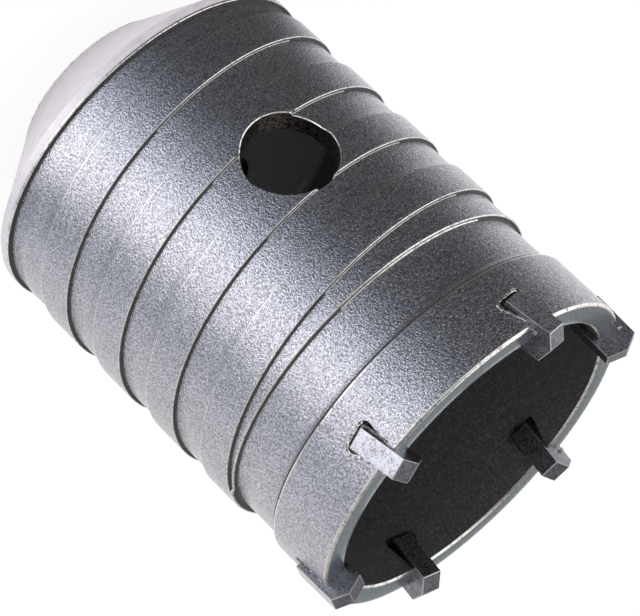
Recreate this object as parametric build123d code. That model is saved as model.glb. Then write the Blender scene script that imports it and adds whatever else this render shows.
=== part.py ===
from build123d import *
import math
import os

# Hole saw for masonry: a one-piece steel cup with six brazed carbide tips.
# Frame: millimetres, +Z runs from the rear face to the mouth, the origin is
# the centre of the rear face and the side hole looks along -Y.

# Cup, along the axis
body_length = 70.0            # rear face to rim
rear_to_shoulder = 11.0       # rear face to the front edge of the shoulder lip
lip_length = 1.4              # plain band of the lip, in front of the cone
shoulder_relief_length = 1.7  # ring cut just in front of the lip
collar_length = 9.2           # plain collar, back from the rim
front_ramp_length = 1.2       # soft climb from the front relief to the collar
front_relief_length = 6.5     # flat floor of the front relief
cavity_depth = 49.0           # rim to cavity floor

# Cup, across the axis
land_diameter = 49.0
rear_diameter = 26.0
wall = 3.4                    # from the lands to the cavity
collar_drop = 0.2             # collar below the lands
flute_depth = 0.5             # the cuts below the lands
shoulder_relief_depth = 0.6
front_relief_depth = 1.05
floor_fillet = 1.0
rim_outer_chamfer = 0.35
rim_inner_chamfer = 0.3
rear_edge_chamfer = 0.3

# Shank thread, left plain at its minor diameter
thread_diameter = 16.0
thread_pitch = 2.0
thread_depth_factor = 1.0825  # a metric nut's minor diameter: this times the pitch is taken off
thread_mouth_clearance = 0.1  # mouth chamfer, past the thread's full radius

# Shallow flute, one right-hand start
flute_pitch = 10.0
flute_floor = 3.7             # flat floor, in front of the sharp step
flute_ramp = 1.5              # soft climb from the floor back to the land
flute_from_shoulder = 8.95    # shoulder to the step of the first turn, on the -Y line

# Side hole
side_hole_diameter = 12.0
side_hole_from_shoulder = 23.1

# Carbide tips, their slots and the braze
tip_count = 6
first_tip_angle = -45.0       # degrees from +X
tip_tilt = 8.0                # degrees, the tip leans about its own radial line
tip_width = 2.8
tip_outside_rise = 0.7        # outer face beyond the collar
tip_inside_rise = 0.8         # inner face into the cavity
tip_ridge_setback = 2.2       # outer face to ridge
tip_outer_height = 2.0        # outer corner above the rim
tip_ridge_height = 3.0        # ridge above the rim
tip_inner_height = 2.1        # inner corner above the rim
slot_depth = 4.9              # rim to slot floor, on the slot's middle line
slot_corner_radius = 0.5
slot_mouth_radius = 1.0       # rounding where the slot meets the rim
braze_gap = 0.4               # filler at the sides and under the tip

cut_margin = 2.0              # how far a cutting shape runs past what it cuts

land_radius = land_diameter / 2
rear_radius = rear_diameter / 2
collar_radius = land_radius - collar_drop
cavity_radius = land_radius - wall
flute_floor_radius = land_radius - flute_depth
shoulder_relief_radius = land_radius - shoulder_relief_depth
front_relief_radius = land_radius - front_relief_depth
collar_start = body_length - collar_length
front_ramp_start = collar_start - front_ramp_length
front_relief_start = front_ramp_start - front_relief_length
floor_height = body_length - cavity_depth
thread_minor_radius = (thread_diameter - thread_depth_factor * thread_pitch) / 2
cutting_radius = collar_radius + tip_outside_rise
tip_inner_radius = cavity_radius - tip_inside_rise
tip_ridge_radius = cutting_radius - tip_ridge_setback
slot_width = tip_width + 2 * braze_gap

os.makedirs("parts", exist_ok=True)


def upright_face(points):
    """Flat face on the XZ plane from (radius, height) points."""
    outline = [(r, 0, z) for r, z in points]
    return make_face(Polyline(*outline, close=True).edges()).face()


def turned(points):
    """Solid of revolution about Z from (radius, height) points."""
    return revolve(upright_face(points), axis=Axis.Z)


def cup_blank():
    """Outside of the cup, solid, before the flute and the holes."""
    relief_end = rear_to_shoulder + shoulder_relief_length
    points = [
        (0, 0),
        (rear_radius - rear_edge_chamfer, 0),
        (rear_radius, rear_edge_chamfer),
        (land_radius, rear_to_shoulder - lip_length),
        (land_radius, rear_to_shoulder),
        (shoulder_relief_radius, rear_to_shoulder),
        (shoulder_relief_radius, relief_end),
        (land_radius, relief_end),
        (land_radius, front_relief_start),
        (front_relief_radius, front_relief_start),
        (front_relief_radius, front_ramp_start),
        (collar_radius, collar_start),
        (collar_radius, body_length - rim_outer_chamfer),
        (collar_radius - rim_outer_chamfer, body_length),
        (0, body_length),
    ]
    return turned(points)


def cavity():
    """Inside of the cup, with its floor fillet and rim chamfer."""
    mouth_radius = cavity_radius + rim_inner_chamfer
    points = [
        (0, floor_height),
        (cavity_radius, floor_height),
        (cavity_radius, body_length - rim_inner_chamfer),
        (mouth_radius, body_length),
        (mouth_radius, body_length + cut_margin),
        (0, body_length + cut_margin),
    ]
    face = upright_face(points)
    foot = face.vertices().sort_by(Axis.Z)[0:2].sort_by(Axis.X)[-1]
    return revolve(face.fillet_2d(floor_fillet, [foot]), axis=Axis.Z)


def thread_bore():
    """Bore for the shank, from the rear face to the cavity."""
    mouth_radius = thread_diameter / 2 + thread_mouth_clearance
    points = [
        (0, -cut_margin),
        (mouth_radius, -cut_margin),
        (mouth_radius, 0),
        (thread_minor_radius, mouth_radius - thread_minor_radius),
        (thread_minor_radius, floor_height + cut_margin),
        (0, floor_height + cut_margin),
    ]
    return turned(points)


def flute():
    """Helical cut, kept between the shoulder and the front relief."""
    first_step = rear_to_shoulder + flute_from_shoulder
    turns_below = math.ceil(flute_from_shoulder / flute_pitch) + 1
    start = first_step - turns_below * flute_pitch
    turns = math.ceil((front_relief_start - start) / flute_pitch)
    path = Helix(flute_pitch, turns * flute_pitch, flute_floor_radius)
    outside = land_radius + cut_margin
    flute_width = flute_floor + flute_ramp
    outline = [
        (flute_floor_radius, 0),
        (flute_floor_radius, flute_floor),
        (land_radius, flute_width),
        (outside, flute_width),
        (outside, 0),
    ]
    cut = sweep(upright_face(outline), path=path, is_frenet=True)
    # The helix starts on +X, and the step is measured on the -Y line.
    cut = Pos(0, 0, start) * Rot(0, 0, -90) * cut
    length = front_relief_start - rear_to_shoulder
    keep = Pos(0, 0, rear_to_shoulder + length / 2) * Cylinder(outside + cut_margin, length)
    return cut & keep


def side_hole():
    """Radial hole through the wall on the -Y side."""
    reach = land_radius + cut_margin
    height = rear_to_shoulder + side_hole_from_shoulder
    drill = Cylinder(side_hole_diameter / 2, reach)
    return Pos(0, -reach / 2, height) * Rot(90, 0, 0) * drill


def tip_place(index):
    """Upright place of one tip: X radial, Y round the rim, Z up from the rim."""
    angle = first_tip_angle + 360.0 / tip_count * index
    return Pos(0, 0, body_length) * Rot(0, 0, angle)


def lean():
    """From a tip's upright place to its leaning frame, on the slot floor."""
    return Pos(0, 0, -slot_depth) * Rot(tip_tilt, 0, 0)


def tip_shape():
    """Tip in its leaning frame: a block with a roof-shaped end."""
    points = [
        (tip_inner_radius, braze_gap),
        (cutting_radius, braze_gap),
        (cutting_radius, slot_depth + tip_outer_height),
        (tip_ridge_radius, slot_depth + tip_ridge_height),
        (tip_inner_radius, slot_depth + tip_inner_height),
    ]
    return extrude(upright_face(points), amount=tip_width / 2, dir=(0, 1, 0), both=True)


def cross_face(x, points):
    """Flat face across the radial line at x, from (sideways, height) points."""
    outline = [(x, y, z) for y, z in points]
    return make_face(Polyline(*outline, close=True).edges()).face()


def slot_shape():
    """Slot in a tip's upright place, with round corners at floor and mouth."""
    inner = tip_inner_radius - cut_margin
    outer = cutting_radius + cut_margin
    half_width = slot_width / 2
    half_mouth = half_width + slot_mouth_radius + cut_margin
    top = slot_depth + cut_margin
    walls = [(-half_width, 0), (half_width, 0), (half_width, top), (-half_width, top)]
    above = [(-half_mouth, 0), (half_mouth, 0), (half_mouth, cut_margin), (-half_mouth, cut_margin)]
    face = (lean() * cross_face(inner, walls) + cross_face(inner, above)).face()
    floor_corners = face.vertices().sort_by(Axis.Z)[0:2]
    face = face.fillet_2d(slot_corner_radius, floor_corners)
    rim_corners = face.vertices().filter_by_position(Axis.Z, -cut_margin / 2, cut_margin / 2)
    mouth_corners = rim_corners.sort_by(Axis.Y)[1:-1]
    face = face.fillet_2d(slot_mouth_radius, mouth_corners)
    return extrude(face, amount=outer - inner, dir=(1, 0, 0))


def filler_space():
    """Everything below the top of the filler, which stops short of the slot's mouth."""
    top = body_length - slot_mouth_radius - braze_gap
    return Pos(0, 0, top - body_length / 2) * Cylinder(collar_radius + cut_margin, body_length)


def build():
    """Make every piece in its place."""
    blank = cup_blank() - cavity() - thread_bore()
    cup = blank - flute() - side_hole()
    filled = blank & filler_space()
    pieces = {}
    for i in range(tip_count):
        place = tip_place(i)
        slot = place * slot_shape()
        tip = place * lean() * tip_shape()
        cup = cup - slot
        pieces["carbide_tip_%d" % (i + 1)] = tip
        pieces["braze_%d" % (i + 1)] = (slot & filled) - tip
    pieces["cup"] = cup
    return pieces


for name, piece in build().items():
    solids = piece.solids()
    if len(solids) != 1:
        raise ValueError("%s should be one solid, not %d" % (name, len(solids)))
    solid = solids[0]
    solid.label = name
    export_step(solid, os.path.join("parts", name + ".step"))
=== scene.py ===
import math

import bmesh
import bpy
import numpy as np
from bpy.props import FloatProperty, FloatVectorProperty, IntProperty, PointerProperty
from mathutils import Matrix, Vector


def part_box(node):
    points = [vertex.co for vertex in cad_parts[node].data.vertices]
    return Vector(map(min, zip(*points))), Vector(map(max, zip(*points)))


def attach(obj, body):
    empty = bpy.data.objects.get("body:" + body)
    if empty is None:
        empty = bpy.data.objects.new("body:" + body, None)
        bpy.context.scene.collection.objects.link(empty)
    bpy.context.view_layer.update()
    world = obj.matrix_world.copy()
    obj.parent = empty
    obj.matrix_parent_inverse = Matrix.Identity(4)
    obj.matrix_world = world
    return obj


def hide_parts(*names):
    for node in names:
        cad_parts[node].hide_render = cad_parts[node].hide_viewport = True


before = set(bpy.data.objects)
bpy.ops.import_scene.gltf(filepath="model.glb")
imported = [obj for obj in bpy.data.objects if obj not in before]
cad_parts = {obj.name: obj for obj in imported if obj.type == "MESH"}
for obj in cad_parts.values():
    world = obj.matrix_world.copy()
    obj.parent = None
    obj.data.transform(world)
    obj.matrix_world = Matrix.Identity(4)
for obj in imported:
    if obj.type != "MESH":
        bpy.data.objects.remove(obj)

bpy.context.view_layer.update()

bl_info = {
    "name": "Masonry hole saw",
    "version": (1, 0, 0),
    "blender": (4, 5, 0),
    "location": "3D View > Sidebar > Hole saw",
    "description": "Steel cup with a helical flute, brazed carbide tips and a studio for it",
    "category": "Object",
}

TIPS = ["carbide_tip_%d" % i for i in range(1, 7)]
BRAZES = ["braze_%d" % i for i in range(1, 7)]
MM = 0.001
# Two of the cup's sizes, read from its part in model.glb, in millimetres
CUP_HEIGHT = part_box("cup")[1][2] / MM
LAND_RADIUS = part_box("cup")[1][0] / MM
# The photograph's width in pixels and the camera's sensor in millimetres
PHOTO_WIDTH = 640
SENSOR = 36.0

# The finishes of the cup's faces, in the order of its material slots. The black one is the dark steel inside
# the cup, and the same black is painted shade on the flute's steps, in the wall's corners and in the slots'
# gaps.
TURNED, BLASTED, BLACKENED, BARE, DRILLED, SLOT, GROUND = range(7)
# Two more kinds of strip, in the corner of a step and beside it, whose finish depends on the side of the cup:
# on the lit side the corner is a painted highlight in bare steel's colour, and elsewhere both are black, as
# painted shade
CORNER, BESIDE = 7, 8
# Where the steps' corners get the painted highlight, in degrees from +X; everywhere else they are black, as
# painted shade
LIGHT_SIDE = (-126, -68)


def linear(code):
    """Linear colour of an sRGB hex value."""
    parts = [int(code[i:i + 2], 16) / 255 for i in (1, 3, 5)]
    return [c / 12.92 if c <= 0.04045 else ((c + 0.055) / 1.055) ** 2.4 for c in parts]


def in_mm(name, description, mm):
    """Size property in Blender's units, given in millimetres."""
    return FloatProperty(name=name, description=description, default=mm * MM, min=0.0,
                         unit="LENGTH", subtype="DISTANCE", precision=5)


def in_degrees(name, description, degrees):
    """Angle property, given in degrees."""
    return FloatProperty(name=name, description=description, default=math.radians(degrees),
                         unit="ROTATION", subtype="ANGLE")


def from_hex(name, description, code):
    """Colour property, given as an sRGB hex value."""
    return FloatVectorProperty(name=name, description=description, default=linear(code),
                               size=3, min=0.0, max=1.0, subtype="COLOR")


def power(name, description, watts):
    """Property for a lamp's power."""
    return FloatProperty(name=name, description=description, default=watts, min=0.0, unit="POWER")


class CupSizes(bpy.types.PropertyGroup):
    """Sizes of the steel cup."""
    length: in_mm("Length", "Rear face to rim", CUP_HEIGHT)
    shoulder: in_mm("Shoulder", "Rear face to the lip's front edge", 11.0)
    lip: in_mm("Lip", "Plain band in front of the cone", 1.4)
    shoulder_relief: in_mm("Shoulder relief", "Ring cut in front of the lip", 1.7)
    front_relief: in_mm("Front relief start", "Rear face to the front relief", 53.1)
    ramp_start: in_mm("Collar ramp start", "Rear face to the foot of the collar's ramp", 59.6)
    collar_start: in_mm("Collar start", "Rear face to the collar", 60.8)
    floor: in_mm("Cavity floor", "Rear face to the cavity's floor", 21.0)
    rear_radius: in_mm("Rear radius", "Radius of the rear face", 13.0)
    land_radius: in_mm("Land radius", "Radius of the full-size wall", LAND_RADIUS)
    collar_radius: in_mm("Collar radius", "Radius of the collar", 24.3)
    cavity_radius: in_mm("Cavity radius", "Inside radius of the wall", 21.1)
    shoulder_relief_depth: in_mm("Shoulder relief depth", "Depth below the lands", 0.6)
    front_relief_depth: in_mm("Front relief depth", "Depth below the lands", 1.05)
    flute_depth: in_mm("Flute depth", "Depth of the flute below the lands", 0.5)
    flute_pitch: in_mm("Flute pitch", "Rise of the flute in one turn", 10.0)
    flute_floor: in_mm("Flute floor", "Width of the flute's flat floor", 3.7)
    flute_ramp: in_mm("Flute ramp", "Width of the soft climb to the land", 1.5)
    flute_first: in_mm("First step", "Rear face to the first step on the hole's line", 19.95)
    thread_minor: in_mm("Thread crest radius", "Radius of the shank thread's crests", 6.9175)
    thread_major: in_mm("Thread root radius", "Radius of the shank thread's roots", 8.0)
    thread_pitch: in_mm("Thread pitch", "Pitch of the shank thread", 2.0)
    hole_radius: in_mm("Side hole radius", "Radius of the hole through the wall", 6.0)
    hole_height: in_mm("Side hole height", "Rear face to the hole's centre", 34.1)
    columns: IntProperty(name="Columns", description="Faces round the cup", default=320, min=60)


class TipSizes(bpy.types.PropertyGroup):
    """Sizes of the carbide tips, their slots and the braze."""
    count: IntProperty(name="Tips", description="Number of carbide tips", default=6, min=1)
    first: in_degrees("First tip", "Angle of the first tip from +X", -45.0)
    lean: in_degrees("Lean", "Lean of a tip about its own radial line", 8.0)
    width: in_mm("Width", "Thickness of a tip round the rim", 2.8)
    inner: in_mm("Inner radius", "Axis to a tip's inner face", 20.3)
    ridge: in_mm("Ridge radius", "Axis to a tip's ridge", 22.8)
    outer: in_mm("Outer radius", "Axis to a tip's outer face", 25.0)
    outer_height: in_mm("Outer height", "Outer corner above the rim", 2.0)
    ridge_height: in_mm("Ridge height", "Ridge above the rim", 3.0)
    inner_height: in_mm("Inner height", "Inner corner above the rim", 2.1)
    slot_depth: in_mm("Slot depth", "Rim to the slot's floor", 4.9)
    slot_corner: in_mm("Slot corner", "Rounding at the slot's floor", 0.5)
    slot_mouth: in_mm("Slot mouth", "Rounding where the slot meets the rim", 0.35)
    gap: in_mm("Braze gap", "Filler beside and under a tip", 0.4)
    fill: in_mm("Fill", "Radius of the filler where it fills the gap", 0.2)
    bead: in_mm("Bead", "Radius of the filler's bead along the slot's edge", 0.08)
    edge: in_mm("Edge", "Rounding of a tip's edges", 0.1)


class Finishes(bpy.types.PropertyGroup):
    """Colours of the finishes."""
    blasted_light: from_hex("Blasted, light", "Light grains of the blasted steel", "#e0dde4")
    blasted_dark: from_hex("Blasted, dark", "Dark grains of the blasted steel", "#918e95")
    turned: from_hex("Turned", "Smooth turned steel of the cone", "#e4dde4")
    turned_dark: from_hex("Turned, dark", "Feed marks of the turned steel", "#d3ccd3")
    # The dark steel's two colours are also painted shade on the steps, in the wall's corners and in the
    # slots' gaps.
    blackened: from_hex("Blackened", "Dark steel inside the cup, and painted shade on the steps", "#3e3c3c")
    blackened_light: from_hex("Blackened, worn", "Lighter grain inside the cup", "#625f61")
    # The bare edge's colour is also a painted highlight in the steps' corners on the lit side.
    bare: from_hex("Bare edge", "Rubbed steel along the edges", "#efebe4")
    ground: from_hex("Ground rim", "Ground steel of the rim", "#bcc5cb")
    ground_dark: from_hex("Ground rim, dark", "Stain on the ground rim", "#8f989d")
    drilled: from_hex("Drilled", "Wall of the side hole", "#a0978f")
    carbide: from_hex("Carbide", "Sintered carbide", "#8f8d93")
    carbide_dark: from_hex("Carbide, dark", "Specks in the carbide", "#626066")
    carbide_ground: from_hex("Carbide, ground", "Outer faces, ground to the cutter's diameter", "#d6d3dc")
    carbide_edge: from_hex("Carbide, edge", "Rubbed edges of the carbide", "#c9c6c4")
    braze: from_hex("Braze", "Silver braze", "#e8e6e3")
    braze_dark: from_hex("Braze, dull", "Flux stain on the braze", "#7e7b7a")


class Studio(bpy.types.PropertyGroup):
    """Floor, light and camera."""
    floor_size: in_mm("Floor", "Side of the square floor", 6000.0)
    floor_drop: in_mm("Floor drop", "Gap between the rear face and the floor", 0.1)
    floor_colour: from_hex("Floor colour", "Matt white floor", "#f4f4f4")
    world_light: FloatProperty(name="World light", description="Strength of the room's light", default=0.75)
    key_power: power("Key", "Power of the large soft light", 2.2)
    fill_power: power("Fill", "Power of the fill light", 0.8)
    top_power: power("Top", "Power of the light over the mouth", 2.2)
    focal_px: FloatProperty(name="Focal length", description="In pixels of the photograph", default=3080.8)
    camera_place: FloatVectorProperty(name="Camera place", description="Where the camera stands", size=3,
                                      default=(0.158771, -0.318705, 0.181587), subtype="TRANSLATION")
    camera_turn: FloatVectorProperty(name="Camera turn", description="The camera's turn", size=3,
                                     default=[math.radians(a) for a in (-60.57328, -42.03714, -174.21001)],
                                     subtype="EULER")


def node(tree, kind, values=None, links=None, **settings):
    """Adds one node with its settings, input values and incoming links."""
    made = tree.nodes.new(kind)
    for key, value in settings.items():
        setattr(made, key, value)
    for socket, value in (values or {}).items():
        made.inputs[socket].default_value = value
    for socket, source in (links or {}).items():
        tree.links.new(source, made.inputs[socket])
    return made


def per_metre(mm):
    """Scale of a pattern whose features are mm wide, on Object coordinates in metres."""
    return 1.0 / (mm * MM)


def finish(name, metallic):
    """New material with a Principled shader; gives the material, its tree and the place on the object."""
    made = bpy.data.materials.new(name)
    made.use_nodes = True
    made.node_tree.nodes["Principled BSDF"].inputs["Metallic"].default_value = metallic
    return made, made.node_tree, node(made.node_tree, "ShaderNodeTexCoord").outputs["Object"]


def skinned(made, tone, roughness, normal):
    """The material, with its colour, roughness and normal linked to its shader."""
    inputs = made.node_tree.nodes["Principled BSDF"].inputs
    for name, source in (("Base Color", tone), ("Roughness", roughness), ("Normal", normal)):
        made.node_tree.links.new(source, inputs[name])
    return made


def plain_finish(name):
    """New material without a shader, for the stage; gives the material and its tree."""
    made = bpy.data.materials.new(name)
    made.use_nodes = True
    made.node_tree.nodes.remove(made.node_tree.nodes["Principled BSDF"])
    return made, made.node_tree


def grain(tree, place, mm, detail=2.0, rough=0.5):
    """Noise whose features are mm wide."""
    values = {"Scale": per_metre(mm), "Detail": detail, "Roughness": rough}
    return node(tree, "ShaderNodeTexNoise", values, {"Vector": place}).outputs["Fac"]


def spread(tree, source, low, high, start=0.0, end=1.0):
    """The source's range from low to high, spread from start to end."""
    values = {"From Min": low, "From Max": high, "To Min": start, "To Max": end}
    return node(tree, "ShaderNodeMapRange", values, {"Value": source}).outputs["Result"]


def sums(tree, operation, values=None, links=None):
    """Result of one maths node."""
    return node(tree, "ShaderNodeMath", values, links, operation=operation).outputs[0]


def blended(tree, fac, first, second):
    """Colour between two colours, each a constant or a socket."""
    made = node(tree, "ShaderNodeMix", links={"Factor": fac}, data_type="RGBA")
    for socket, value in ((made.inputs[6], first), (made.inputs[7], second)):
        if isinstance(value, bpy.types.NodeSocket):
            tree.links.new(value, socket)
        else:
            socket.default_value = (*value, 1.0)
    return made.outputs[2]


def bump(tree, height, strength, mm, under=None):
    """Normal from a height that is mm deep."""
    links = {"Height": height}
    if under is not None:
        links["Normal"] = under
    values = {"Strength": strength, "Distance": mm * MM}
    return node(tree, "ShaderNodeBump", values, links).outputs["Normal"]


def grit_blasted_steel(look):
    """Alloy steel blasted with sharp grit: matt and grey, with a hard sparkle of tiny facets."""
    made, tree, place = finish("grit_blasted_alloy_steel", 1.0)
    # The real grit leaves pits of about 0.15 mm; they are drawn at 0.17 and 0.28 mm so that they show.
    fine = grain(tree, place, 0.17, 1.0)
    pits = grain(tree, place, 0.28, 2.0, 0.6)
    cloud = grain(tree, place, 6.0, 2.0)
    speck = node(tree, "ShaderNodeMix", {0: 0.5}, {2: fine, 3: pits}).outputs[0]
    tone = blended(tree, spread(tree, speck, 0.4, 0.6), look.blasted_dark, look.blasted_light)
    cloudy = node(tree, "ShaderNodeMix", {0: 0.12}, {6: tone}, data_type="RGBA", blend_type="MULTIPLY")
    tree.links.new(spread(tree, cloud, 0.3, 0.7, 0.5, 1.0), cloudy.inputs[7])
    return skinned(made, cloudy.outputs[2], spread(tree, fine, 0.3, 0.7, 0.1, 0.2),
                   bump(tree, fine, 1.0, 0.045, bump(tree, pits, 1.0, 0.09)))


def turned_steel(look):
    """Steel turned on a lathe and dulled by the acid dip: smooth, pale and satin, with faint feed rings."""
    made, tree, place = finish("pickled_turned_steel", 0.35)
    # Feed marks of 0.15 mm, drawn at 0.4 mm so that they show.
    axis = node(tree, "ShaderNodeSeparateXYZ", links={"Vector": place}).outputs["Z"]
    rings = node(tree, "ShaderNodeTexNoise", {"Scale": per_metre(0.4), "Detail": 2.0},
                 {"W": axis}, noise_dimensions="1D").outputs["Fac"]
    soft = grain(tree, place, 1.5, 3.0)
    fac = node(tree, "ShaderNodeMix", {0: 0.6}, {2: rings, 3: soft}).outputs[0]
    return skinned(made, blended(tree, spread(tree, fac, 0.35, 0.65), look.turned_dark, look.turned),
                   spread(tree, soft, 0.3, 0.7, 0.45, 0.55), bump(tree, rings, 0.12, 0.02))


def grained(name, metallic, noise, tones, dark, light, roughness, height):
    """Material whose colour, roughness and bump all follow one noise.

    noise is its width in mm, detail and roughness, tones its range from dark to light, and height the
    bump's strength and depth in mm.
    """
    made, tree, place = finish(name, metallic)
    fac = grain(tree, place, *noise)
    return skinned(made, blended(tree, spread(tree, fac, *tones), dark, light),
                   spread(tree, fac, 0.3, 0.7, *roughness), bump(tree, fac, *height))


def blackened_steel(look):
    """Nearly black steel inside the cup, with a faint lighter grain; the same black is painted shade on the
    flute's steps, in the wall's corners and in the slots' gaps.
    """
    return grained("heat_blackened_steel", 0.4, (0.3, 3.0, 0.6), (0.45, 0.75),
                   look.blackened, look.blackened_light, (0.4, 0.6), (0.35, 0.03))


def bare_steel(name, light, dark):
    """Steel without its blasted skin: a bright, uneven line on a rubbed edge, plain grey on a ground rim; its
    bright colour is also a painted highlight in the steps' corners on the lit side.
    """
    return grained(name, 1.0, (0.5, 3.0, 0.6), (0.3, 0.5), dark, light, (0.3, 0.2), (0.25, 0.03))


def drilled_steel(look):
    """Wall of a drilled hole: dull brown-grey with the drill's marks."""
    return grained("drilled_steel", 1.0, (0.35, 2.0, 0.5), (0.35, 0.65),
                   look.blackened, look.drilled, (0.3, 0.5), (0.3, 0.03))


def braze_filler(name, light, dark):
    """Silver braze as it ran and froze: bright and rounded in the bead, dark in the joint."""
    return grained(name, 1.0, (0.45, 3.0, 0.6), (0.38, 0.55), dark, light, (0.35, 0.15), (1.0, 0.08))


def sintered_carbide(look):
    """Tungsten carbide, sintered and blasted with the cup: dense, matt, specked, bright along its edges."""
    made, tree, place = finish("sintered_tungsten_carbide", 1.0)
    # Specks of 0.1 mm, drawn at 0.25 mm so that they show.
    fine = grain(tree, place, 0.25, 1.0)
    stain = grain(tree, place, 1.2, 3.0, 0.6)
    fac = node(tree, "ShaderNodeMix", {0: 0.35}, {2: fine, 3: stain}).outputs[0]
    speck = spread(tree, fac, 0.36, 0.54)
    skin = blended(tree, speck, look.carbide_dark, look.carbide)
    ground = blended(tree, speck, look.carbide, look.carbide_ground)
    outer = node(tree, "ShaderNodeAttribute", attribute_name="outer").outputs["Fac"]
    rubbed = node(tree, "ShaderNodeAttribute", attribute_name="rubbed").outputs["Fac"]
    return skinned(made, blended(tree, rubbed, blended(tree, outer, skin, ground), look.carbide_edge),
                   spread(tree, fine, 0.3, 0.7, 0.25, 0.4), bump(tree, fine, 1.0, 0.012))


# The flute's step: millimetres past it, depth as a share of the full depth, and the finish up to the next
# point. It starts a little before the step itself.
STEP_LEAD = 0.12
# The step's face is black, as painted shade; the corner at its foot and the strip beside it take painted
# highlight and painted shade by the side of the cup.
STEP = ((-STEP_LEAD, 0.0, BARE), (-0.06, 0.03, BARE), (-0.016, 0.12, BARE), (0.0, 0.24, BLACKENED),
        (0.01, 0.8, CORNER), (0.05, 0.95, CORNER), (0.12, 1.0, BESIDE), (0.2, 1.0, BLASTED))
# The burr at the top of the flute's ramp: its height as a share of the flute's depth, and half its width
BURR = 0.05
BURR_WIDTH = 0.08
# One turn of the thread, in the same way: crest, flank and root
THREAD_TURN = ((0.0, 0.0, BLACKENED), (0.25, 0.0, BLACKENED), (1.0, 1.0, BLACKENED), (1.25, 1.0, BLACKENED))


def between(start, end, parts):
    """Places inside a stretch that split it into even parts."""
    return [start + (end - start) * k / parts for k in range(1, parts)]


def stretch(start, end, parts, share):
    """Points inside a flat stretch of the flute."""
    return tuple((past, share, BLASTED) for past in between(start, end, parts))


def flute_turn(floor, ramp, pitch):
    """Points of one turn of the flute, from its step to the next."""
    crest = floor + ramp
    foot = floor - 0.1
    climb = ((foot, 1.0, BLASTED), (floor + 0.12, 0.95, BLASTED), (crest - 0.2, 0.1, BLASTED),
             (crest - BURR_WIDTH, 0.02, BARE), (crest, -BURR, BLASTED), (crest + BURR_WIDTH, 0.0, BLASTED))
    return (STEP + stretch(STEP[-1][0], foot, 6, 1.0) + climb
            + stretch(crest + BURR_WIDTH, pitch - STEP_LEAD, 7, 0.0))


class Rise:
    """A profile that repeats along the axis and climbs one pitch in a turn, between two heights."""

    def __init__(self, points, pitch, first, lead, low, high, radius, depth, fade=0.0):
        self.at = [p[0] for p in points] + [pitch - lead]
        self.share = [p[1] for p in points] + [points[0][1]]
        self.points, self.pitch, self.first, self.lead = points, pitch, first, lead
        self.low, self.high, self.radius, self.depth, self.fade = low, high, radius, depth, fade

    def radius_at(self, turns, z):
        """Radius at a height, the given turns round from the hole's line."""
        past = (z - self.first - self.pitch * turns + self.lead) % self.pitch - self.lead
        share = float(np.interp(past, self.at, self.share))
        if self.fade:
            share *= min(1.0, max(0.0, min(z - self.low, self.high - z) / self.fade))
        return self.radius + self.depth * share

    def column(self, turns):
        """Radius, height and finish of every point at one place round the axis, cut off at both ends."""
        below = math.ceil((self.first + self.pitch - self.low) / self.pitch) + 1
        above = math.ceil((self.high - self.first + self.pitch) / self.pitch) + 1
        column = []
        for i in range(-below, above):
            for past, _, kind in self.points:
                z = self.first + self.pitch * (turns + i) + past
                z = min(max(z, self.low), self.high)
                column.append((self.radius_at(turns, z), z, kind))
        return column


# The cup's edges: millimetres across and along from each sharp corner, and the finish up to the next point
REAR_EDGE = ((-0.32, 0.0, TURNED), (-0.22, 0.02, BARE), (-0.02, 0.22, BARE))
LIP_FOOT = ((-0.25, -0.25, TURNED), (-0.06, 0.05, TURNED), (0.0, 0.4, TURNED))
# The black strips from the lip's edge down into the corner in front of it are painted shade.
LIP_EDGE = ((0.0, -0.3, BARE), (-0.02, -0.08, BARE), (-0.1, 0.0, BLACKENED))
LIP_CORNER = ((0.06, 0.0, BLACKENED), (0.0, 0.06, BLACKENED), (0.0, 0.22, BLASTED), (0.0, 0.8, BLASTED))
COLLAR_EDGE = ((-0.06, -0.12, BARE), (-0.01, 0.0, BARE), (0.0, 0.12, BLASTED))
RIM_OUTSIDE = ((0.0, -0.4, BARE), (-0.04, -0.28, BARE), (-0.28, -0.04, BARE),
               (-0.4, 0.0, GROUND), (-1.1, 0.0, GROUND), (-1.9, 0.0, GROUND))
RIM_INSIDE = ((0.32, 0.0, BARE), (0.26, -0.04, BARE), (0.04, -0.26, BLACKENED), (0.0, -0.34, BLACKENED))
BORE_TOP = ((0.35, 0.0, BLACKENED), (0.05, -0.25, BLACKENED))
# The collar's ramp: share of its rise and millimetres along, up from its foot and down from its top
RAMP_FOOT = ((0.0, -0.12), (0.1, 0.12))
RAMP_TOP = ((0.42, -0.5), (0.25, -0.3))
# Radii at which the rear face and the cavity's floor are split into rings
REAR_RINGS = (9.5, 11.2)
FLOOR_RINGS = (16, 12, 8.6)
# Height at which the cone starts, and the number of its parts
CONE_START, CONE_PARTS = 0.32, 8
# Length of wall over which the flute comes up out of the shoulder's relief
RELIEF_RUNOUT = 1.4
# Gap from the flute's end to the front relief, and the largest rounding of the step between them
FLUTE_END, FRONT_EDGE = 0.35, 0.3
# The thread's mouth past its roots, its end below the cavity's floor, and the length over which it fades
THREAD_MOUTH, THREAD_END, THREAD_FADE = 0.1, 0.3, 1.2
FLOOR_FILLET = 1.0
QUARTER = [math.radians(a) for a in (0, 30, 60, 90)]
FILLET_TURN = np.radians((0, 22.5, 45, 67.5, 90))


def ring(points, kind):
    """Profile points that stand for one finish."""
    return [(r, z, kind) for r, z in points]


def edge_at(r, z, steps):
    """Profile points of one edge, from the place of its sharp corner."""
    return [(r + across, z + along, kind) for across, along, kind in steps]


def smoothed(t):
    """0 to 1 with soft ends."""
    t = min(1.0, max(0.0, t))
    return t * t * (3 - 2 * t)


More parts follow.
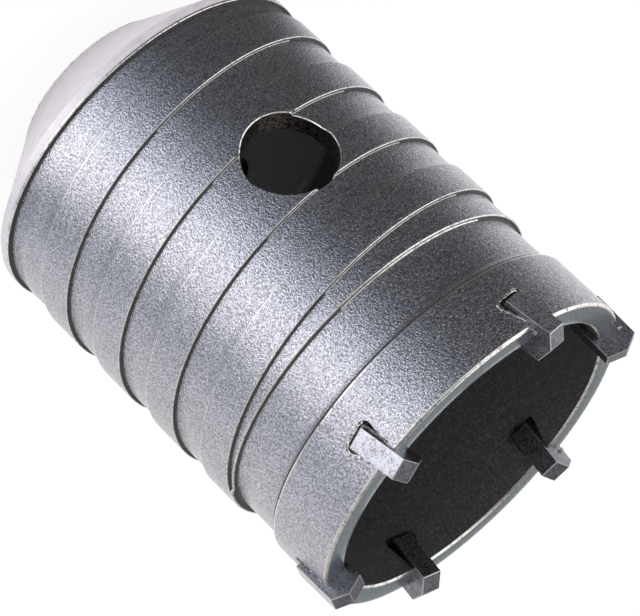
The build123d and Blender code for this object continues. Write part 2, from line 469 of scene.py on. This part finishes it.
def rear_profile(s):
    """The rear face, the cone, the lip and the corner in front of it."""
    land, rear = s.land_radius / MM, s.rear_radius / MM
    lip_end = s.shoulder / MM
    lip_start = lip_end - s.lip / MM
    face = [(s.thread_major / MM + THREAD_MOUTH, 0)] + [(r, 0) for r in REAR_RINGS]
    cone = [(rear + (land - rear) * k / CONE_PARTS, CONE_START + (lip_start - CONE_START) * k / CONE_PARTS)
            for k in range(CONE_PARTS)]
    return (ring(face, TURNED) + edge_at(rear, 0, REAR_EDGE) + ring(cone, TURNED)
            + edge_at(land, lip_start, LIP_FOOT) + edge_at(land, lip_end, LIP_EDGE)
            + edge_at(land - s.shoulder_relief_depth / MM, lip_end, LIP_CORNER))


def wall_profile(s, flute, turns, light):
    """The wall with its flute, which comes up out of the shoulder's relief."""
    land = s.land_radius / MM
    dip = land - s.shoulder_relief_depth / MM
    # On the lit side the step's corner is a painted highlight; elsewhere the corner and the strip beside it
    # are painted shade.
    kinds = {CORNER: BARE if light else BLACKENED, BESIDE: BLASTED if light else BLACKENED}
    profile = []
    for r, z, kind in flute.column(turns):
        limit = dip + (land - dip) * smoothed((z - flute.low) / RELIEF_RUNOUT)
        profile.append((min(r, limit), z, BLASTED if limit < land else kinds.get(kind, kind)))
    return profile


def front_profile(s, brink, light):
    """The rounded step from the wall's end down to the front relief, the relief, the collar and the rim."""
    collar, top = s.collar_radius / MM, s.length / MM
    front, low = s.front_relief / MM, s.land_radius / MM - s.front_relief_depth / MM
    foot, brow = s.ramp_start / MM, s.collar_start / MM
    rise = collar - low
    edge = min(FRONT_EDGE, (brink - low) / 3)
    over = [(brink - edge + edge * math.cos(a), front - edge + edge * math.sin(a)) for a in QUARTER]
    under = [(low + edge - edge * math.sin(a), front + edge - edge * math.cos(a)) for a in QUARTER]
    # The front step's face is black, as painted shade; its lower rounding is a painted highlight in bare
    # steel's colour on the lit side and painted shade elsewhere.
    return (ring(over[:-1], BARE) + ring([(brink - edge, front)], BLACKENED)
            + ring([(low + edge, front)] + under[1:-1], BARE if light else BLACKENED)
            + ring(under[-1:] + [(low, z) for z in between(front, foot, 4)], BLASTED)
            + ring([(low + share * rise, foot + along) for share, along in RAMP_FOOT], BLASTED)
            + ring([(collar - share * rise, brow + along) for share, along in RAMP_TOP], BLACKENED)
            + edge_at(collar, brow, COLLAR_EDGE)
            + ring([(collar, z) for z in between(brow, top, 4)], BLASTED)
            + edge_at(collar, top, RIM_OUTSIDE))


def inside_profile(s, thread, turns):
    """The rim's inner edge, the cavity and the threaded bore."""
    inside, top, floor = s.cavity_radius / MM, s.length / MM, s.floor / MM
    wall = [(inside, z) for z in between(top, floor, 9)]
    fillet = FLOOR_FILLET
    arc = [(inside - fillet + fillet * math.cos(a), floor + fillet - fillet * math.sin(a))
           for a in FILLET_TURN]
    return (edge_at(inside, top, RIM_INSIDE) + ring(wall + arc + [(r, floor) for r in FLOOR_RINGS], BLACKENED)
            + edge_at(thread.radius, floor, BORE_TOP) + thread.column(turns)[::-1])


def cup_profile(s, flute, thread, turns):
    """The cup's closed profile at one place round the axis: radius, height and finish of each point."""
    # The turns are counted from -Y.
    azimuth = (turns * 360 + 90) % 360 - 180
    light = LIGHT_SIDE[0] < azimuth < LIGHT_SIDE[1]
    wall = wall_profile(s, flute, turns, light)
    return rear_profile(s) + wall + front_profile(s, wall[-1][0], light) + inside_profile(s, thread, turns)


def cup_rises(s):
    """The flute and the shank thread of the cup."""
    land, pitch = s.land_radius / MM, s.flute_pitch / MM
    points = flute_turn(s.flute_floor / MM, s.flute_ramp / MM, pitch)
    low = (s.shoulder + s.shoulder_relief) / MM
    flute = Rise(points, pitch, s.flute_first / MM, STEP_LEAD, low, s.front_relief / MM - FLUTE_END,
                 land, -s.flute_depth / MM)
    crest, root = s.thread_minor / MM, s.thread_major / MM
    mouth = root + THREAD_MOUTH - crest
    thread = Rise(THREAD_TURN, s.thread_pitch / MM, mouth, 0.0, mouth, s.floor / MM - THREAD_END,
                  crest, root - crest, fade=THREAD_FADE)
    return flute, thread


def as_mesh(made, name):
    """Mesh of a bmesh, which is freed."""
    mesh = bpy.data.meshes.new(name)
    made.to_mesh(mesh)
    made.free()
    return mesh


# Points of the cup closer than this are one point, in metres
WELD = 1e-7


def cup_mesh(s):
    """The cup before its slots and side hole, as one closed mesh."""
    flute, thread = cup_rises(s)
    columns = s.columns
    rows, kinds = [], []
    for i in range(columns + 1):
        turns = i / columns
        profile = cup_profile(s, flute, thread, turns)
        kinds.append([p[2] for p in profile])
        angle = math.radians(-90) + 2 * math.pi * turns
        rows.append([(p[0] * math.cos(angle) * MM, p[0] * math.sin(angle) * MM, p[1] * MM) for p in profile])
    count = len(kinds[0])
    made = bmesh.new()
    verts = [[made.verts.new(p) for p in row] for row in rows]
    for i in range(columns):
        for j in range(count):
            k = (j + 1) % count
            quad = (verts[i][j], verts[i + 1][j], verts[i + 1][k], verts[i][k])
            made.faces.new(quad).material_index = kinds[i][j]
    bmesh.ops.remove_doubles(made, verts=made.verts, dist=WELD)
    bmesh.ops.dissolve_degenerate(made, edges=made.edges, dist=WELD)
    bmesh.ops.recalc_face_normals(made, faces=made.faces)
    return as_mesh(made, "cup")


def rounded(points, radii, steps=6):
    """Closed outline with each corner rounded to its radius."""
    outline = []
    for i, here in enumerate(points):
        if not radii[i]:
            outline.append(here)
            continue
        here = Vector(here)
        back = (Vector(points[i - 1]) - here).normalized()
        ahead = (Vector(points[(i + 1) % len(points)]) - here).normalized()
        half = back.angle(ahead) / 2
        centre = here + (back + ahead).normalized() * radii[i] / math.sin(half)
        start = here + back * radii[i] / math.tan(half) - centre
        end = here + ahead * radii[i] / math.tan(half) - centre
        for k in range(steps + 1):
            outline.append(tuple(centre + start.slerp(end, k / steps)))
    return outline


def prism(made, outline, low, high, place, kind):
    """Adds a straight bar along X with the outline in Y and Z, in millimetres."""
    near = [made.verts.new(place @ Vector((low, y, z)) * MM) for y, z in outline]
    far = [made.verts.new(place @ Vector((high, y, z)) * MM) for y, z in outline]
    faces = [made.faces.new(near), made.faces.new(far[::-1])]
    for i in range(len(outline)):
        k = (i + 1) % len(outline)
        faces.append(made.faces.new((near[i], far[i], far[k], near[k])))
    for face in faces:
        face.material_index = kind


# How far a slot's cutting bar runs past the rim and past the wall
SLOT_MARGIN, WALL_MARGIN = 3, 2
# The side hole's cutting bar: its sides, its reach into the cavity and how far it breaks the hole's edge
HOLE_SIDES, HOLE_REACH, HOLE_FLARE = 96, 8.0, 0.12
# Growth of the bar's radius and height over the wall's outside, ring by ring from the cavity outwards
HOLE_RINGS = ((0.0, -HOLE_REACH), (0.0, -HOLE_FLARE), (HOLE_FLARE * 0.6, -HOLE_FLARE * 0.3),
              (HOLE_FLARE + 0.05, 0.05), (2.0, 1.5))


def slot_path(t, inset=0.0):
    """A slot's outline from one end of its mouth to the other, sideways and up from the rim."""
    depth, half = t.slot_depth / MM, t.width / MM / 2 + t.gap / MM - inset
    sin, cos = math.sin(t.lean), math.cos(t.lean)

    def leaned(y, z):
        return y * cos - z * sin, -depth + y * sin + z * cos

    left = leaned(-half, (depth + half * sin) / cos)
    right = leaned(half, (depth - half * sin) / cos)
    corner, mouth = t.slot_corner / MM, t.slot_mouth / MM
    ends = (left[0] - SLOT_MARGIN, 0), (right[0] + SLOT_MARGIN, 0)
    return rounded([ends[0], left, leaned(-half, inset), leaned(half, inset), right, ends[1]],
                   [0, mouth, corner, corner, mouth, 0])


def slot_cutter(s, t):
    """Bars that cut the slots of all tips."""
    path = slot_path(t)
    outline = path + [(path[-1][0], SLOT_MARGIN), (path[0][0], SLOT_MARGIN)]
    inner, outer = t.inner / MM - WALL_MARGIN, t.outer / MM + WALL_MARGIN
    made = bmesh.new()
    for i in range(t.count):
        angle = t.first + 2 * math.pi * i / t.count
        place = Matrix.Translation((0, 0, s.length / MM)) @ Matrix.Rotation(angle, 4, "Z")
        # The slots' walls get the black finish: painted shade in the gaps round the tips.
        prism(made, outline, inner, outer, place, SLOT)
    return cutter_mesh(made)


def hole_cutter(s):
    """Bar for the side hole, flared where it meets the outside so that the hole's edge is broken."""
    flute, _ = cup_rises(s)
    land, radius, height = s.land_radius / MM, s.hole_radius / MM, s.hole_height / MM
    rings = []
    for grow, depth in HOLE_RINGS:
        row = []
        for k in range(HOLE_SIDES):
            angle = 2 * math.pi * k / HOLE_SIDES
            x = (radius + grow) * math.cos(angle)
            z = height + (radius + grow) * math.sin(angle)
            fluted = depth > -HOLE_REACH and flute.low <= z <= flute.high
            out = flute.radius_at(math.asin(x / land) / (2 * math.pi), z) if fluted else land
            row.append((x, -math.sqrt((out + depth) ** 2 - x * x), z))
        rings.append(row)
    made = bmesh.new()
    verts = [[made.verts.new(Vector(p) * MM) for p in row] for row in rings]
    for j in range(len(verts) - 1):
        for k in range(HOLE_SIDES):
            m = (k + 1) % HOLE_SIDES
            face = made.faces.new((verts[j][k], verts[j][m], verts[j + 1][m], verts[j + 1][k]))
            face.material_index = BARE if j in (1, 2) else DRILLED
    for row in (verts[0], verts[-1]):
        middle = made.verts.new(sum((v.co for v in row), Vector()) / len(row))
        for k in range(HOLE_SIDES):
            made.faces.new((row[k], row[(k + 1) % HOLE_SIDES], middle)).material_index = DRILLED
    return cutter_mesh(made)


def cutter_mesh(made):
    """Mesh of a cutting shape, its faces turned outwards."""
    bmesh.ops.recalc_face_normals(made, faces=made.faces)
    return as_mesh(made, "cutter")


def linked(name, data, materials=()):
    """Object at the origin of the scene, with its mesh or other data and its materials."""
    for material in materials:
        data.materials.append(material)
    piece = bpy.data.objects.new(name, data)
    bpy.context.scene.collection.objects.link(piece)
    return piece


def settled(piece):
    """Turns the piece's modifiers into plain mesh and removes them."""
    bpy.context.view_layer.update()
    graph = bpy.context.evaluated_depsgraph_get()
    mesh = bpy.data.meshes.new_from_object(piece.evaluated_get(graph), depsgraph=graph)
    piece.modifiers.clear()
    old, name = piece.data, piece.data.name
    piece.data = mesh
    bpy.data.meshes.remove(old)
    mesh.name = name


def smooth(mesh, degrees):
    """Smooth faces with sharp edges past the angle."""
    mesh.shade_smooth()
    mesh.set_sharp_from_angle(angle=math.radians(degrees))


def evened(piece, degrees):
    """Smooth faces with sharp edges past the angle, the large faces shaded flat."""
    smooth(piece.data, degrees)
    even = piece.modifiers.new("even", "WEIGHTED_NORMAL")
    even.keep_sharp, even.weight = True, 80
    settled(piece)


def settings(context):
    """Sizes of the cup, sizes of the tips, and the finishes."""
    return context.scene.holesaw_cup, context.scene.holesaw_tips, context.scene.holesaw_looks


class HOLESAW_OT_cup(bpy.types.Operator):
    """Makes the steel cup with its flute, thread, slots and side hole"""
    bl_idname = "holesaw.cup"
    bl_label = "Steel cup"

    def execute(self, context):
        s, t, look = settings(context)
        finishes = [turned_steel(look), grit_blasted_steel(look), blackened_steel(look),
                    bare_steel("rubbed_bare_steel", look.bare, look.blasted_dark), drilled_steel(look),
                    blackened_steel(look), bare_steel("ground_rim_steel", look.ground, look.ground_dark)]
        cup = linked("steel_cup", cup_mesh(s), finishes)
        cutters = [linked("slot_cutter", slot_cutter(s, t), finishes),
                   linked("hole_cutter", hole_cutter(s), finishes)]
        for cutter in cutters:
            cut = cup.modifiers.new(cutter.name, "BOOLEAN")
            cut.operation, cut.solver, cut.object = "DIFFERENCE", "EXACT", cutter
        settled(cup)
        for cutter in cutters:
            bpy.data.objects.remove(cutter)
        if len(cup.data.polygons) < s.columns:
            raise RuntimeError("the cup's slots and hole left no cup")
        evened(cup, 40)
        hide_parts("cup")
        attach(cup, "root")
        return {"FINISHED"}


# A face of a tip is its outer one if it lies this close to the outer radius
FLAT = 1e-4


def tip_mesh(t):
    """One carbide tip with rounded edges, leaning on its slot's floor."""
    depth, half = t.slot_depth / MM, t.width / MM / 2
    inner, ridge, outer = t.inner / MM, t.ridge / MM, t.outer / MM
    outline = [(inner, t.gap / MM), (outer, t.gap / MM), (outer, depth + t.outer_height / MM),
               (ridge, depth + t.ridge_height / MM), (inner, depth + t.inner_height / MM)]
    made = bmesh.new()
    rubbed = made.faces.layers.float.new("rubbed")
    ground = made.faces.layers.float.new("outer")
    sides = [[made.verts.new((x, y, z)) for x, z in outline] for y in (-half, half)]
    made.faces.new(sides[0])
    made.faces.new(sides[1][::-1])
    for i in range(len(outline)):
        k = (i + 1) % len(outline)
        made.faces.new((sides[0][i], sides[1][i], sides[1][k], sides[0][k]))
    bmesh.ops.recalc_face_normals(made, faces=made.faces)
    edged = bmesh.ops.bevel(made, geom=made.edges[:], offset=t.edge / MM, segments=2, profile=0.6,
                            affect="EDGES")
    for face in edged["faces"]:
        face[rubbed] = 1.0
    for face in made.faces:
        face[ground] = float(min(v.co.x for v in face.verts) > outer - FLAT)
    lean = Matrix.Translation((0, 0, -depth)) @ Matrix.Rotation(t.lean, 4, "X")
    bmesh.ops.transform(made, matrix=Matrix.Scale(MM, 4) @ lean, verts=made.verts)
    return as_mesh(made, "tip")


# Inputs of the node groups and their kinds of socket
RING_INPUTS = {"Shape": "Object", "Count": "Int", "First Angle": "Float", "Rim Height": "Float",
               "Unevenness": "Float", "Seed": "Int", "Material": "Material"}
BEAD_INPUTS = {"Bead Scale": "Float", "Step": "Float"}


def uneven(tree, place, seed, mm, detail, output):
    """Noise for lumps that are mm wide, which the seed changes."""
    values = {"Scale": per_metre(mm), "Detail": detail}
    links = {"Vector": place, "W": seed}
    return node(tree, "ShaderNodeTexNoise", values, links, noise_dimensions="4D").outputs[output]


def bead_along(tree, given, lines, place, seed):
    """Bead of filler along lines: as thick as each line's own radius, with lumps about 0.7 mm long."""
    even = node(tree, "GeometryNodeResampleCurve", links={"Curve": lines, "Length": given["Step"]},
                mode="LENGTH").outputs[0]
    own = node(tree, "GeometryNodeInputRadius").outputs[0]
    scale = spread(tree, uneven(tree, place, seed, 0.7, 2.0, "Fac"), 0.3, 0.7, 0.5, 1.5)
    for factor in (given["Bead Scale"], own):
        scale = sums(tree, "MULTIPLY", links={0: scale, 1: factor})
    circle = node(tree, "GeometryNodeCurvePrimitiveCircle", {"Resolution": 10, "Radius": 1.0}).outputs[0]
    return node(tree, "GeometryNodeCurveToMesh", {"Fill Caps": True},
                {"Curve": even, "Profile Curve": circle, "Scale": scale}).outputs[0]


def ring_tree(name, bead=False):
    """Node group that repeats a shape round the rim; with bead, the shape is lines that get a bead."""
    tree = bpy.data.node_groups.new(name, "GeometryNodeTree")
    tree.interface.new_socket(name="Geometry", in_out="OUTPUT", socket_type="NodeSocketGeometry")
    for key, kind in (RING_INPUTS | BEAD_INPUTS if bead else RING_INPUTS).items():
        tree.interface.new_socket(name=key, in_out="INPUT", socket_type="NodeSocket" + kind)
    given = node(tree, "NodeGroupInput").outputs
    height = node(tree, "ShaderNodeCombineXYZ", links={"Z": given["Rim Height"]}).outputs[0]
    points = node(tree, "GeometryNodePoints", links={"Count": given["Count"], "Position": height})
    index = node(tree, "GeometryNodeInputIndex").outputs[0]
    part = sums(tree, "DIVIDE", {0: 2 * math.pi}, {1: given["Count"]})
    angle = sums(tree, "MULTIPLY_ADD", links={0: index, 1: part, 2: given["First Angle"]})
    rotation = node(tree, "ShaderNodeCombineXYZ", links={"Z": angle}).outputs[0]
    shape = node(tree, "GeometryNodeObjectInfo", links={"Object": given["Shape"]}).outputs["Geometry"]
    placed = node(tree, "GeometryNodeInstanceOnPoints",
                  links={"Points": points.outputs[0], "Instance": shape, "Rotation": rotation}).outputs[0]
    real = node(tree, "GeometryNodeRealizeInstances", links={"Geometry": placed}).outputs[0]
    place = node(tree, "GeometryNodeInputPosition").outputs[0]
    # The seed moves the noise along its fourth axis.
    seed = sums(tree, "MULTIPLY", {1: 7.31}, {0: given["Seed"]})
    if bead:
        real = bead_along(tree, given, real, place, seed)
    # Dents and lumps about 1 mm wide.
    lump = uneven(tree, place, seed, 1.0, 3.0, "Color")
    centred = node(tree, "ShaderNodeVectorMath", {1: (0.5, 0.5, 0.5)}, {0: lump},
                   operation="SUBTRACT").outputs[0]
    offset = node(tree, "ShaderNodeVectorMath", links={0: centred, "Scale": given["Unevenness"]},
                  operation="SCALE").outputs[0]
    moved = node(tree, "GeometryNodeSetPosition", links={"Geometry": real, "Offset": offset}).outputs[0]
    painted = node(tree, "GeometryNodeSetMaterial", links={"Geometry": moved, "Material": given["Material"]})
    node(tree, "NodeGroupOutput", links={0: painted.outputs[0]})
    return tree


def grown(name, tree, shape, s, t, values):
    """Piece that a node group makes from a shape, as plain mesh; the shape is removed."""
    piece = linked(name, bpy.data.meshes.new(name))
    maker = piece.modifiers.new("maker", "NODES")
    maker.node_group = tree
    values = {"Shape": shape, "Count": t.count, "First Angle": t.first, "Rim Height": s.length, **values}
    for item in tree.interface.items_tree:
        if item.in_out == "INPUT":
            maker[item.identifier] = values[item.name]
    settled(piece)
    bpy.data.objects.remove(shape)
    if not piece.data.polygons:
        raise RuntimeError("nothing was made for %s" % name)
    return piece


class HOLESAW_OT_tips(bpy.types.Operator):
    """Makes the carbide tips round the rim"""
    bl_idname = "holesaw.tips"
    bl_label = "Carbide tips"

    def execute(self, context):
        s, t, look = settings(context)
        shape = linked("tip_shape", tip_mesh(t))
        tips = grown("carbide_tips", ring_tree("tips_round_rim"), shape, s, t,
                     {"Unevenness": 0.00006, "Seed": 5, "Material": sintered_carbide(look)})
        evened(tips, 50)
        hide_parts(*TIPS)
        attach(tips, "root")
        return {"FINISHED"}


# Stretches of a slot's outline, which has one point at each end and seven in each rounded corner. The filler
# ran along the floor and up one side; the other side's gap is open but for a drop at its mouth.
WHOLE_EDGE, FILLED_EDGE = slice(6, 24), slice(19, 24)
FILLED_GAP, OPEN_MOUTH = slice(11, -2), slice(3, 8)
# How deep the filler lies below the collar, in the gap and in the mouth, and how far it sagged
GAP_SINK, MOUTH_SINK, SAG = 0.16, 0.25, 0.04


def bead_lines(s, t):
    """Lines of filler in one slot, along its edge, in its gap and at its mouth, with the filler's radius."""
    data = bpy.data.curves.new("bead_lines", "CURVE")
    data.dimensions = "3D"
    edge, middle = slot_path(t), slot_path(t, t.gap / MM / 2)
    collar, bead, fill = s.collar_radius / MM, t.bead / MM, t.fill / MM
    lines = ((edge[WHOLE_EDGE], collar - 0.05, bead), (edge[FILLED_EDGE], collar - 0.03, 1.7 * bead),
             (middle[FILLED_GAP], collar - GAP_SINK, fill),
             (middle[FILLED_GAP], collar - GAP_SINK - 1.5 * fill, fill),
             (middle[OPEN_MOUTH], collar - MOUTH_SINK, 2 * bead))
    for path, radius, thick in lines:
        spline = data.splines.new("POLY")
        spline.points.add(len(path) - 1)
        for point, (y, z) in zip(spline.points, path):
            place = Vector((math.sqrt(radius ** 2 - y * y), y, z - SAG)) * MM
            point.co = (*place, 1.0)
            point.radius = thick
    return data


class HOLESAW_OT_braze(bpy.types.Operator):
    """Makes the braze beads and gives the braze layers their finish"""
    bl_idname = "holesaw.braze"
    bl_label = "Braze"

    def execute(self, context):
        s, t, look = settings(context)
        bright = braze_filler("silver_braze_bead", look.braze, look.braze_dark)
        # The braze layers in the gaps take the dark steel's two colours.
        dull = braze_filler("flux_stained_braze", look.blackened_light, look.blackened)
        shape = linked("bead_shape", bead_lines(s, t))
        beads = grown("braze_beads", ring_tree("beads_round_rim", bead=True), shape, s, t,
                      {"Unevenness": 0.00015, "Seed": 11, "Material": bright, "Bead Scale": MM,
                       "Step": 0.00012})
        smooth(beads.data, 60)
        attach(beads, "root")
        for name in BRAZES:
            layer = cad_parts[name]
            for slot in layer.material_slots:
                slot.material = dull
        return {"FINISHED"}


def white_for_view(tree):
    """Fac that is 1 for camera, glossy and transmission rays."""
    rays = node(tree, "ShaderNodeLightPath").outputs
    both = sums(tree, "MAXIMUM", links={0: rays["Is Camera Ray"], 1: rays["Is Glossy Ray"]})
    return sums(tree, "MAXIMUM", links={0: both, 1: rays["Is Transmission Ray"]})


# Share of plain white in what the floor shows; the rest takes the light and the object's shadow
FLOOR_GLOW = 0.92
WHITE = (1, 1, 1, 1)


def matt_white_floor(studio):
    """Matt white acrylic sheet: reads as white, and still takes the object's soft shadow."""
    made, tree = plain_finish("matt_white_acrylic")
    place = node(tree, "ShaderNodeTexCoord").outputs["Object"]
    mottle = grain(tree, place, 40.0)
    tone = blended(tree, spread(tree, mottle, 0.3, 0.7, 0.0, 0.03), studio.floor_colour, WHITE[:3])
    matt = node(tree, "ShaderNodeBsdfDiffuse", links={"Color": tone}).outputs[0]
    glow = node(tree, "ShaderNodeEmission", {"Color": WHITE, "Strength": 1.0}).outputs[0]
    share = sums(tree, "MULTIPLY", {1: FLOOR_GLOW}, {0: white_for_view(tree)})
    both = node(tree, "ShaderNodeMixShader", links={0: share, 1: matt, 2: glow}).outputs[0]
    tree.links.new(both, tree.nodes["Material Output"].inputs["Surface"])
    return made


def white_room(context, studio):
    """World that lights softly and shows white to camera, glossy and transmission rays."""
    world = bpy.data.worlds.new("white_room")
    world.use_nodes = True
    context.scene.world = world
    tree = world.node_tree
    tree.nodes.remove(tree.nodes["Background"])
    soft = node(tree, "ShaderNodeBackground", {"Color": WHITE, "Strength": studio.world_light}).outputs[0]
    white = node(tree, "ShaderNodeBackground", {"Color": WHITE, "Strength": 1.0}).outputs[0]
    both = node(tree, "ShaderNodeMixShader", links={0: white_for_view(tree), 1: soft, 2: white}).outputs[0]
    tree.links.new(both, tree.nodes["World Output"].inputs["Surface"])


# The soft cards that the metal mirrors, all round: direction in degrees from +X, brightness and coolness.
# One lot lies on the floor round the object, one stands behind it and one hangs above it.
FLOOR_CARDS = (
    (-180, 0.42, 0.4), (-168, 0.14, 0.1), (-150, 0.11, 0.0), (-110, 0.12, 0.2), (-96, 0.14, 0.6),
    (-84, 0.24, 1.0), (-72, 0.55, 1.0), (-60, 1.05, 0.7), (-48, 1.7, 0.3), (-36, 1.9, 0.2), (-25, 1.4, 0.3),
    (-13, 0.45, 0.6), (0, 0.48, 0.7), (12, 0.85, 0.5), (36, 0.87, 0.1), (60, 0.88, 0.0), (84, 0.92, 0.0),
    (108, 0.97, 0.0), (132, 0.9, 0.0), (155, 1.05, 0.1), (168, 0.85, 0.3), (180, 0.42, 0.4))
STANDING_CARDS = (
    (-180, 1.4, 0.2), (-130, 1.4, 0.1), (-100, 0.7, 0.1), (0, 0.7, 0.0), (70, 0.5, 0.0), (100, 0.32, 0.1),
    (135, 0.32, 0.1), (155, 1.2, 0.2), (180, 1.4, 0.2))
TOP_CARDS = (
    (-180, 1.3, 0.1), (-140, 1.3, 0.1), (-115, 0.4, 0.0), (-86, 0.14, 0.0), (0, 0.14, 0.0), (45, 0.2, 0.1),
    (75, 0.5, 0.1), (120, 0.5, 0.1), (150, 0.8, 0.1), (180, 1.3, 0.1))
COOL = Vector((0.86, 0.97, 1.09))
# The cards' profile: radius and height in metres, and a point's lot, which is 0 floor, 1 standing or 2 top.
# It starts right at the foot of the cup, so that the metal mirrors no bare floor.
CARD_PROFILE = (
    (0.0255, 0.0, 0), (0.15, 0.0, 0), (0.3, 0.0, 0), (0.42, 0.03, 0), (0.5, 0.1, 0), (0.52, 0.15, 1),
    (0.52, 0.35, 1), (0.45, 0.55, 1), (0.3, 0.68, 2), (0.02, 0.75, 2))
# Degrees between two lines of points round the cards, and their height above the floor's plane in metres
CARD_STEP, CARD_LIFT = 4, 0.0002


def card_glow(angle, lot):
    """Colour of the light from the cards in a direction."""
    at, bright, cool = zip(*(FLOOR_CARDS, STANDING_CARDS, TOP_CARDS)[lot])
    share = float(np.interp(angle, at, cool))
    return float(np.interp(angle, at, bright)) * Vector((1, 1, 1)).lerp(COOL, share)


def card_ring():
    """Curved shell of soft cards round the object."""
    made = bmesh.new()
    glow = made.verts.layers.float_color.new("glow")
    rows = []
    for angle in range(-180, 180, CARD_STEP):
        turned = math.radians(angle)
        row = []
        for r, z, lot in CARD_PROFILE:
            vert = made.verts.new((r * math.cos(turned), r * math.sin(turned), z + CARD_LIFT))
            vert[glow] = (*card_glow(angle, lot), 1.0)
            row.append(vert)
        rows.append(row)
    for i in range(len(rows)):
        k = (i + 1) % len(rows)
        for j in range(len(CARD_PROFILE) - 1):
            made.faces.new((rows[i][j], rows[k][j], rows[k][j + 1], rows[i][j + 1]))
    return as_mesh(made, "card_ring")


def card_paper():
    """Card lit from behind: seen only in the metal's reflections."""
    made, tree = plain_finish("backlit_card")
    glow = node(tree, "ShaderNodeAttribute", attribute_name="glow").outputs["Color"]
    light = node(tree, "ShaderNodeEmission", {"Strength": 1.0}, {"Color": glow}).outputs[0]
    tree.links.new(light, tree.nodes["Material Output"].inputs["Surface"])
    return made


# Name, place and size of each square lamp, in metres, and the point that all of them look at
LAMPS = (("key", (0.25, -0.35, 0.6), 0.5), ("fill", (-0.5, 0.2, 0.5), 0.5), ("top", (0.02, 0.02, 0.85), 0.3))
LAMP_AIM = Vector((0, 0, 0.035))


def soft_light(name, place, size, energy):
    """Square area light that looks at the object and isn't mirrored in it."""
    data = bpy.data.lights.new(name, "AREA")
    data.shape, data.size, data.energy = "SQUARE", size, energy
    lamp = linked(name, data)
    lamp.location = place
    lamp.visible_glossy = False
    lamp.rotation_mode = "QUATERNION"
    lamp.rotation_quaternion = (LAMP_AIM - Vector(place)).to_track_quat("-Z", "Y")


class HOLESAW_OT_studio(bpy.types.Operator):
    """Makes the floor, the room, the lights and the camera"""
    bl_idname = "holesaw.studio"
    bl_label = "Studio"

    def execute(self, context):
        studio = context.scene.holesaw_studio
        half, drop = studio.floor_size / 2, -studio.floor_drop
        mesh = bpy.data.meshes.new("floor")
        mesh.from_pydata([(-half, -half, drop), (half, -half, drop), (half, half, drop), (-half, half, drop)],
                         [], [(0, 1, 2, 3)])
        floor = linked("floor", mesh, [matt_white_floor(studio)])
        cards = linked("cards", card_ring(), [card_paper()])
        for kind in ("camera", "diffuse", "transmission", "shadow", "volume_scatter"):
            setattr(cards, "visible_" + kind, False)
        white_room(context, studio)
        for name, place, size in LAMPS:
            soft_light(name, place, size, getattr(studio, name + "_power"))
        data = bpy.data.cameras.new("camera")
        data.sensor_fit, data.sensor_width = "HORIZONTAL", SENSOR
        data.lens = studio.focal_px * SENSOR / PHOTO_WIDTH
        data.clip_start, data.clip_end = 0.01, 20.0
        camera = linked("camera", data)
        camera.location = studio.camera_place
        camera.rotation_euler = studio.camera_turn
        context.scene.camera = camera
        context.scene.view_settings.view_transform = "Standard"
        return {"FINISHED"}


class HOLESAW_PT_panel(bpy.types.Panel):
    """Lists the steps that make the hole saw"""
    bl_idname = "HOLESAW_PT_panel"
    bl_label = "Hole saw"
    bl_space_type = "VIEW_3D"
    bl_region_type = "UI"
    bl_category = "Hole saw"

    def draw(self, context):
        for operator in OPERATORS:
            self.layout.operator(operator.bl_idname)
        for group in GROUPS:
            values = getattr(context.scene, group)
            box = self.layout.box()
            box.label(text=values.__class__.__name__)
            for key in values.__class__.__annotations__:
                box.prop(values, key)


GROUPS = {"holesaw_cup": CupSizes, "holesaw_tips": TipSizes,
          "holesaw_looks": Finishes, "holesaw_studio": Studio}
OPERATORS = (HOLESAW_OT_cup, HOLESAW_OT_tips, HOLESAW_OT_braze, HOLESAW_OT_studio)


def register():
    for name, group in GROUPS.items():
        bpy.utils.register_class(group)
        setattr(bpy.types.Scene, name, PointerProperty(type=group))
    for kind in (*OPERATORS, HOLESAW_PT_panel):
        bpy.utils.register_class(kind)


def unregister():
    for kind in (HOLESAW_PT_panel, *reversed(OPERATORS)):
        bpy.utils.unregister_class(kind)
    for name, group in reversed(GROUPS.items()):
        delattr(bpy.types.Scene, name)
        bpy.utils.unregister_class(group)


def main():
    register()
    bpy.ops.holesaw.cup()
    bpy.ops.holesaw.tips()
    bpy.ops.holesaw.braze()
    bpy.ops.holesaw.studio()
    bpy.context.view_layer.update()


if __name__ == "__main__":
    main()
